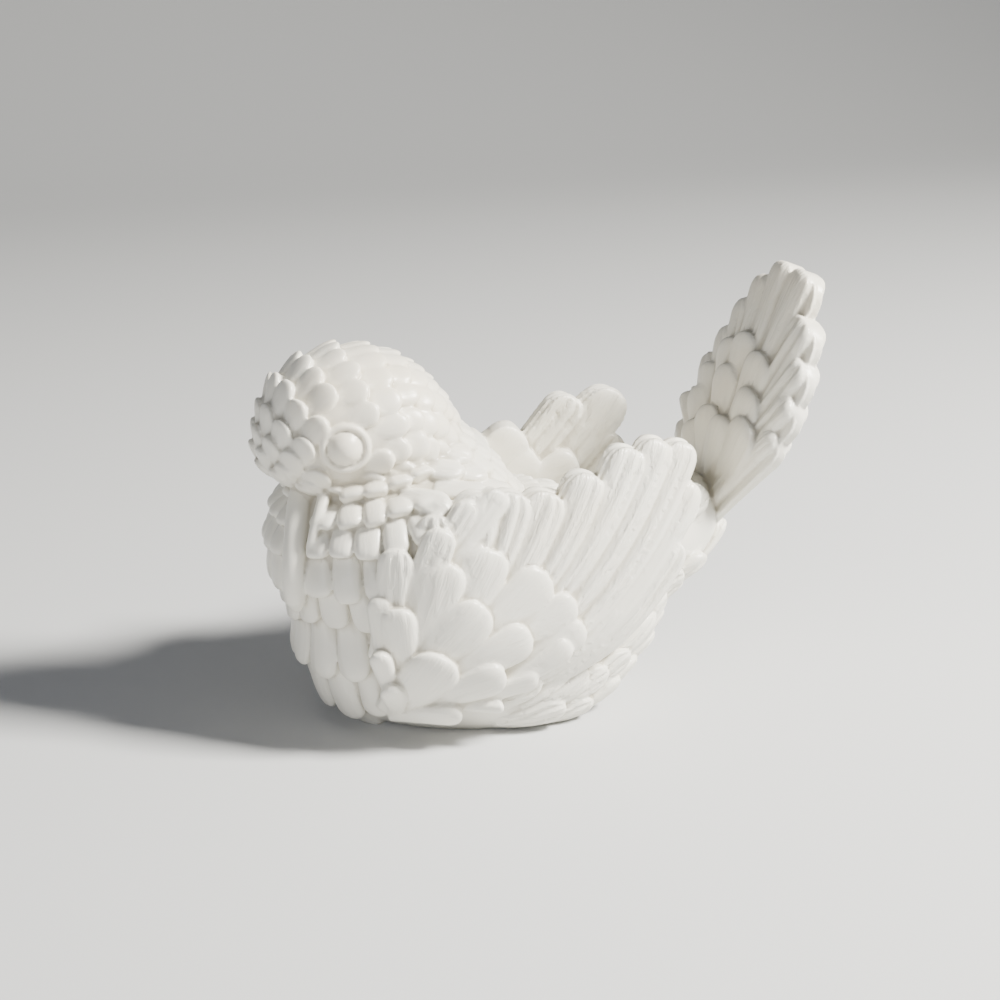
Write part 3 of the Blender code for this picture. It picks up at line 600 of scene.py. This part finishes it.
class TailFace:
    """Front (+1) or back (-1) face of the fan: a leaning plane, bent by camber * y^2."""

    def __init__(self, sign):
        self.sign = sign
        self.along = np.array([np.cos(TAIL_RISE), 0, np.sin(TAIL_RISE)])
        self.facing = np.array([-np.sin(TAIL_RISE), 0, np.cos(TAIL_RISE)])

    def land(self, p):
        """Points moved square to the fan on to the face, with the face's normals there."""
        q = p - TAIL_ROOT
        b = q[..., 1]
        rise = self.sign * TAIL_HALF_THICKNESS - TAIL_CAMBER * b ** 2
        points = TAIL_ROOT + (q @ self.along)[..., None] * self.along + b[..., None] * SIDEWAYS
        points = points + rise[..., None] * self.facing
        slope = 2 * TAIL_CAMBER * b
        return points, unit(self.facing + slope[..., None] * SIDEWAYS) * self.sign

    def at(self, length, angle):
        """A place given by its distance and angle in degrees from the fan's root."""
        a = np.radians(angle)
        return TAIL_ROOT + self.along * length * np.cos(a) + SIDEWAYS * length * np.sin(a)


TAIL_QUILLS = (  # length, angle and width
    (34, 60, 8), (40, 49, 9), (46.5, 38.5, 10), (50.8, 27.5, 11), (56.8, 18.5, 11.5),
    (62.5, 10.5, 12), (66.4, 2.5, 12.5), (66.2, -6.5, 12), (57, -15.5, 12.5),
    (49.5, -22.5, 12), (42, -28.5, 11.5), (34, -34.5, 10),
)
TAIL_COVERTS = (  # length and angle of the tip, width; lowest lap last
    (45.5, 15.4, 11), (47.3, 5.0, 11.5), (44.2, -8.1, 12), (40.8, 29.3, 7),
    (38.2, 10.5, 12), (35.9, -14.4, 12), (35.0, 34.4, 10), (36.3, 45, 5),
    (27.7, 17.5, 12.5), (29.6, -25.0, 12), (26.0, -4.0, 12), (25.0, 36.0, 9),
)
front = TailFace(1)
back = TailFace(-1)
for face in (front, back):
    for length, angle, width in TAIL_QUILLS:
        line = (face.at(QUILL_START, angle * QUILL_TURNS[0]),
                face.at(length * 0.5, angle * QUILL_TURNS[1]), face.at(length, angle))
        feather(face, *line, width * TAIL_BED, rise=(-1.0, -0.4), crown=0.6, sink=TAIL_SINK,
                root_share=0.6, stations=30, uneven=0.0)
        feather(face, *line, width * TAIL_VANE, rise=(-0.6, 0.6), crown=1.8, sink=TAIL_SINK,
                root_share=0.45, squareness=3.0, stations=52, ribs=3, rib_depth=1.0, shaft=0.7,
                uneven=0.0, lean=0.7, streak=0.8)
for number, (length, angle, width) in enumerate(TAIL_COVERTS):
    lift = FIRST_LIFT + LAP_LIFT * (number // COVERTS_IN_A_LAP)
    line = (front.at(length - TAIL_COVERT, angle * COVERT_TURNS[0]),
            front.at(length - TAIL_COVERT_BEND, angle * COVERT_TURNS[1]), front.at(length, angle))
    feather(front, *line, width, rise=(-0.3, lift), crown=1.7, sink=2.6,
            root_share=0.75, squareness=2.2, flatness=2.2, stations=26, ribs=2, rib_depth=0.3,
            lean=-0.5, uneven=0.02, streak=0.3)


# The casting. All that clay is one skin in the mould: the shapes are joined,
# softened a little as resin is, and cut flat where the bird stands.

CASTING_MIDDLE = 17.2  # this place along the bird stands over the frame's origin
SKIN_STEP = 0.36
TRIANGLES = 194000


def in_metres(points):
    """Carved points moved over the frame's origin, in metres."""
    return (np.vstack(points) - [CASTING_MIDDLE, 0, 0]) / 1000


def worked(mesh, kind, **settings):
    """The mesh with one modifier worked into it."""
    holder = bpy.data.objects.new("casting", mesh)
    bpy.context.scene.collection.objects.link(holder)
    modifier = holder.modifiers.new("step", kind)
    for name, value in settings.items():
        setattr(modifier, name, value)
    evaluated = holder.evaluated_get(bpy.context.evaluated_depsgraph_get())
    result = bpy.data.meshes.new_from_object(evaluated)
    bpy.data.objects.remove(holder)
    bpy.data.meshes.remove(mesh)
    return result


def joined(carving):
    """All the closed shapes in one mesh: the quads of the tubes, then the fans that cap them."""
    points = in_metres(carving.points)
    quads = np.vstack(carving.quads)
    caps = np.vstack(carving.caps)
    corners = np.concatenate([quads.ravel(), caps.ravel()])
    starts = np.concatenate([np.arange(len(quads)) * 4, len(quads) * 4 + np.arange(len(caps)) * 3])
    mesh = bpy.data.meshes.new("dove_resin")
    mesh.vertices.add(len(points))
    mesh.vertices.foreach_set("co", points.ravel())
    mesh.loops.add(len(corners))
    mesh.loops.foreach_set("vertex_index", corners)
    mesh.polygons.add(len(starts))
    mesh.polygons.foreach_set("loop_start", starts)
    mesh.update(calc_edges=True)
    return mesh


def keep_largest(bm):
    """Drops loose specks, keeping the one skin that is the bird."""
    unseen = set(bm.verts)
    islands = []
    while unseen:
        front_line = [unseen.pop()]
        island = set(front_line)
        while front_line:
            vertex = front_line.pop()
            for edge in vertex.link_edges:
                other = edge.other_vert(vertex)
                if other not in island:
                    island.add(other)
                    unseen.discard(other)
                    front_line.append(other)
        islands.append(island)
    largest = max(islands, key=len)
    specks = [vertex for vertex in bm.verts if vertex not in largest]  # in order, alike in every run
    bmesh.ops.delete(bm, geom=specks, context="VERTS")


def flat_underside(bm):
    """Cuts the casting off at the ground and closes the underside."""
    geometry = bm.verts[:] + bm.edges[:] + bm.faces[:]
    cut = bmesh.ops.bisect_plane(bm, geom=geometry, dist=1e-7, plane_co=(0, 0, 0),
                                 plane_no=(0, 0, -1), clear_outer=True)
    rim = [item for item in cut["geom_cut"] if isinstance(item, bmesh.types.BMEdge)]
    bmesh.ops.triangle_fill(bm, edges=rim, use_beauty=True, normal=(0, 0, -1))
    bmesh.ops.triangulate(bm, faces=[face for face in bm.faces if len(face.verts) > 3])
    bmesh.ops.recalc_face_normals(bm, faces=bm.faces)


skin = worked(joined(bird), "REMESH", mode="VOXEL", voxel_size=SKIN_STEP / 1000)
share = TRIANGLES / (2 * len(skin.polygons))  # the remeshed skin is all quads
skin = worked(skin, "SMOOTH", factor=0.5, iterations=1)
skin = worked(skin, "TRIANGULATE")
skin = worked(skin, "DECIMATE", ratio=share)
bm = bmesh.new()
bm.from_mesh(skin)
keep_largest(bm)
flat_underside(bm)
bm.to_mesh(skin)
bm.free()
skin.name = "dove_resin"
dove = bpy.data.objects.new("dove_resin", skin)
bpy.context.scene.collection.objects.link(dove)
skin.shade_smooth()


# The resin. Marble-filled polyester cast in a rubber mould and rubbed with a
# thin antique wash: milky, a little see-through at thin edges and satin, with
# soft cream patches on the upper parts and a grey-brown tint in the hollows
# that is partly that wash and partly painted shade.

RESIN_WHITE = "#E8E5DA"
RESIN_CREAM = "#E6DECC"
# grey-brown of the hollows: partly antique wash, partly painted shade
SHADE_AND_WASH_TINT = "#A19884"
CREAM_PATCH = 26.3  # size of a patch
CREAM_CONTRAST = (0.45, 0.7)  # cloud values where a patch starts and is full
CREAM_LEVELS = (35.0, 85.0)  # heights between which the patches come in
SHADE_AND_WASH_DEPTHS = (0.05, 0.7)  # hollows where the tint starts and is full
SHADE_AND_WASH_MOST = 0.6
FINE_ROUNDS = 8  # rounds of averaging that find the small hollows
BROAD_ROUNDS = 40
RIM_ROUNDS = 4
BARB_PITCH = 0.77  # real barbs are finer; drawn this coarse, they show
BARB_LENGTH = 10.0
BARB_SHIFT = 40.0  # moves the pattern on from feather to feather
BARB_RELIEF = 0.5


def linear(code):
    """sRGB hex turned to linear colour with full alpha."""
    value = np.array([int(code[i:i + 2], 16) for i in (1, 3, 5)]) / 255
    value = np.where(value <= 0.04045, value / 12.92, ((value + 0.055) / 1.055) ** 2.4)
    return (*value, 1.0)


def node(tree, kind, sockets, **settings):
    """Adds a node with its settings; each socket, by name or number, gets a link or a value."""
    made = tree.nodes.new(kind)
    for name, value in settings.items():
        setattr(made, name, value)
    for name, value in sockets.items():
        if isinstance(value, bpy.types.NodeSocket):
            tree.links.new(value, made.inputs[name])
        else:
            made.inputs[name].default_value = value
    return made


def grain_of_skin(mesh, carving):
    """For each point of the cast skin, the grain of the nearest carved point."""
    carved = in_metres(carving.grained)
    grain = np.vstack(carving.grain)
    nearest_to = kdtree.KDTree(len(carved))
    for index, point in enumerate(carved):
        nearest_to.insert(point, index)
    nearest_to.balance()
    nearest = [nearest_to.find(vertex.co)[1] for vertex in mesh.vertices]
    return grain[nearest]


def edge_ends(mesh):
    """The two end points of each edge, by number."""
    ends = np.empty(len(mesh.edges) * 2, int)
    mesh.edges.foreach_get("vertices", ends)
    return ends.reshape(-1, 2)


def averaged(values, ends, rounds):
    """In each round every point takes the mean of its neighbours, column by column."""
    count = len(values)
    neighbours = np.bincount(ends.ravel(), minlength=count)[:, None]
    first, second = ends[:, 0], ends[:, 1]
    for _ in range(rounds):
        totals = [np.bincount(first, column[second], count) + np.bincount(second, column[first], count)
                  for column in values.T]
        values = np.stack(totals, -1) / neighbours
    return values


def hollowness(mesh, rounds):
    """How far each point lies below the skin smoothed by rounds of averaging, in millimetres."""
    points = np.empty(len(mesh.vertices) * 3)
    mesh.vertices.foreach_get("co", points)
    points = points.reshape(-1, 3)
    normals = np.empty(len(mesh.vertices) * 3)
    mesh.vertex_normals.foreach_get("vector", normals)
    smooth = averaged(points, edge_ends(mesh), rounds)
    return ((smooth - points) * normals.reshape(-1, 3)).sum(1) * 1000


def away_from_rims(mesh, grain):
    """How strongly the barbs show: each point's streak, none where two feathers meet."""
    ends = edge_ends(mesh)
    meeting = grain[ends[:, 0], 2] != grain[ends[:, 1], 2]
    show = np.ones((len(grain), 1))
    show[ends[meeting].ravel()] = 0
    near = averaged(show, ends, RIM_ROUNDS)
    return grain[:, 3] * np.minimum(near, show)[:, 0]


def paint(mesh, name, kind, values):
    """Keeps one value for each point of the skin under a name."""
    layer = mesh.attributes.new(name, kind, "POINT")
    field = "vector" if kind == "FLOAT_VECTOR" else "value"
    layer.data.foreach_set(field, np.ascontiguousarray(values).ravel())


grain = grain_of_skin(skin, bird)
paint(skin, "barbs", "FLOAT_VECTOR", grain[:, :3])
paint(skin, "streak", "FLOAT", away_from_rims(skin, grain))
# depth of each point in a hollow, fine and broad: where the painted shade and the wash go
paint(skin, "hollow", "FLOAT", hollowness(skin, FINE_ROUNDS) + hollowness(skin, BROAD_ROUNDS) / 2)

resin = bpy.data.materials.new("marble_resin")
resin.use_nodes = True
tree = resin.node_tree
tree.nodes.clear()
place = node(tree, "ShaderNodeTexCoord", {}).outputs["Object"]
level = node(tree, "ShaderNodeSeparateXYZ", {"Vector": place}).outputs["Z"]
hollow = node(tree, "ShaderNodeAttribute", {}, attribute_name="hollow").outputs["Fac"]
streak = node(tree, "ShaderNodeAttribute", {}, attribute_name="streak").outputs["Fac"]
barbs = node(tree, "ShaderNodeAttribute", {}, attribute_name="barbs").outputs["Vector"]

cloud = node(tree, "ShaderNodeTexNoise", {"Vector": place, "Scale": 1000 / CREAM_PATCH, "Detail": 3.0})
patch = node(tree, "ShaderNodeMapRange", {"Value": cloud.outputs["Fac"], "From Min": CREAM_CONTRAST[0],
                                          "From Max": CREAM_CONTRAST[1]})
upper = node(tree, "ShaderNodeMapRange", {"Value": level, "From Min": CREAM_LEVELS[0] / 1000,
                                          "From Max": CREAM_LEVELS[1] / 1000})
creamed = node(tree, "ShaderNodeMath", {0: patch.outputs[0], 1: upper.outputs[0]}, operation="MULTIPLY")
resin_colour = node(tree, "ShaderNodeMix", {0: creamed.outputs[0], 6: linear(RESIN_WHITE),
                                            7: linear(RESIN_CREAM)}, data_type="RGBA")
# Painted shade and antique wash in the hollows: the deeper the hollow, the more grey-brown.
shade_and_wash = node(tree, "ShaderNodeMapRange", {"Value": hollow, "From Min": SHADE_AND_WASH_DEPTHS[0],
                                           "From Max": SHADE_AND_WASH_DEPTHS[1], "To Max": SHADE_AND_WASH_MOST})
colour = node(tree, "ShaderNodeMix", {0: shade_and_wash.outputs[0], 6: resin_colour.outputs[2],
                                      7: linear(SHADE_AND_WASH_TINT)}, data_type="RGBA")

barb_scale = (1 / BARB_PITCH, 1 / BARB_LENGTH, BARB_SHIFT)
combed = node(tree, "ShaderNodeVectorMath", {0: barbs, 1: barb_scale}, operation="MULTIPLY")
fibre = node(tree, "ShaderNodeTexNoise", {"Vector": combed.outputs[0], "Scale": 1.0, "Detail": 2.0})
lines = node(tree, "ShaderNodeMath", {0: fibre.outputs["Fac"], 1: streak}, operation="MULTIPLY")
relief = node(tree, "ShaderNodeBump", {"Height": lines.outputs[0], "Distance": BARB_RELIEF / 1000,
                                       "Strength": 1.0})
shader = node(tree, "ShaderNodeBsdfPrincipled", {
    "Base Color": colour.outputs[2], "Normal": relief.outputs[0], "Roughness": 0.34,
    "Subsurface Weight": 0.08, "Subsurface Radius": (1.0, 0.9, 0.8), "Subsurface Scale": 0.0015})
node(tree, "ShaderNodeOutputMaterial", {"Surface": shader.outputs[0]})
skin.materials.clear()
skin.materials.append(resin)
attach(dove, "root")
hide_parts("dove")


# Floor, light and camera. A pale matt sheet that sweeps up behind; a soft lamp
# above on the right, a weak wide one low on the left and a dim grey room; and
# the photograph's own view. Lengths are metres here, but for the camera's place.

FLOOR_GREY = "#C9CACB"
FLOOR_HALF_WIDTH = 3
FLOOR_REACH = 2.0
SWEEP_START = 0.8
SWEEP_CURVE = 0.6
FLOOR_GRID = (41, 61)
LAMPS = (  # name, place, size, watts, colour
    ("key", (0.58, -0.38, 0.70), 0.22, 43.0, "#FFFCF4"),
    ("fill", (-0.60, -0.50, 0.30), 0.5, 1.9, "#F4F7FF"),
)
LAMP_AIM = np.array([0, 0, 0.04])
ROOM_GREY = "#E6E9EE"
ROOM_LIGHT = 0.17
CAMERA_PLACE = (-158.3, -455.3, 197.6)  # in the bird's millimetres
CAMERA_PITCH = np.radians(17.0)
CAMERA_TURN = np.radians(20.0)
SENSOR_WIDTH = 36.0
FOCAL_SHARE = 2.1  # focal length over the picture's width

sweep_x, sweep_u = np.meshgrid(np.linspace(-FLOOR_HALF_WIDTH, FLOOR_HALF_WIDTH, FLOOR_GRID[0]),
                               np.linspace(0, 1, FLOOR_GRID[1]), indexing="ij")
sweep_y = mix(-FLOOR_REACH, FLOOR_REACH, sweep_u)
sweep_z = SWEEP_CURVE * np.maximum(0, sweep_y - SWEEP_START) ** 2
index = np.arange(FLOOR_GRID[0] * FLOOR_GRID[1]).reshape(FLOOR_GRID)
faces = np.stack([index[:-1, :-1], index[1:, :-1], index[1:, 1:], index[:-1, 1:]], -1).reshape(-1, 4)
sheet = bpy.data.meshes.new("floor")
sheet.from_pydata(np.stack([sweep_x, sweep_y, sweep_z], -1).reshape(-1, 3).tolist(), [], faces.tolist())
sheet.shade_smooth()
floor = bpy.data.objects.new("floor", sheet)
bpy.context.scene.collection.objects.link(floor)
paper = bpy.data.materials.new("matt_paper")
paper.use_nodes = True
paper.node_tree.nodes.clear()
matt = node(paper.node_tree, "ShaderNodeBsdfPrincipled", {"Base Color": linear(FLOOR_GREY),
                                                          "Roughness": 0.8})
node(paper.node_tree, "ShaderNodeOutputMaterial", {"Surface": matt.outputs[0]})
sheet.materials.append(paper)

for name, place, size, power, colour in LAMPS:
    lamp = bpy.data.lights.new(name, "AREA")
    lamp.size = size
    lamp.energy = power
    lamp.color = linear(colour)[:3]
    holder = bpy.data.objects.new(name, lamp)
    toward = Vector(LAMP_AIM - np.array(place))
    holder.matrix_world = Matrix.LocRotScale(place, toward.to_track_quat("-Z", "Y"), None)
    bpy.context.scene.collection.objects.link(holder)

world = bpy.data.worlds.new("studio")
bpy.context.scene.world = world
world.use_nodes = True
world.node_tree.nodes["Background"].inputs["Color"].default_value = linear(ROOM_GREY)
world.node_tree.nodes["Background"].inputs["Strength"].default_value = ROOM_LIGHT

lens = bpy.data.cameras.new("camera")
lens.sensor_width = SENSOR_WIDTH
lens.lens = SENSOR_WIDTH * FOCAL_SHARE
camera = bpy.data.objects.new("camera", lens)
ahead = np.array([np.cos(CAMERA_PITCH) * np.sin(CAMERA_TURN), np.cos(CAMERA_PITCH) * np.cos(CAMERA_TURN),
                  -np.sin(CAMERA_PITCH)])
rightward = np.array([np.cos(CAMERA_TURN), -np.sin(CAMERA_TURN), 0])
upward = np.cross(rightward, ahead)
turn = Matrix(np.stack([rightward, upward, -ahead], -1).tolist())
place = in_metres([CAMERA_PLACE])[0]
camera.matrix_world = Matrix.LocRotScale(place.tolist(), turn.to_quaternion(), None)
bpy.context.scene.collection.objects.link(camera)
bpy.context.scene.camera = camera
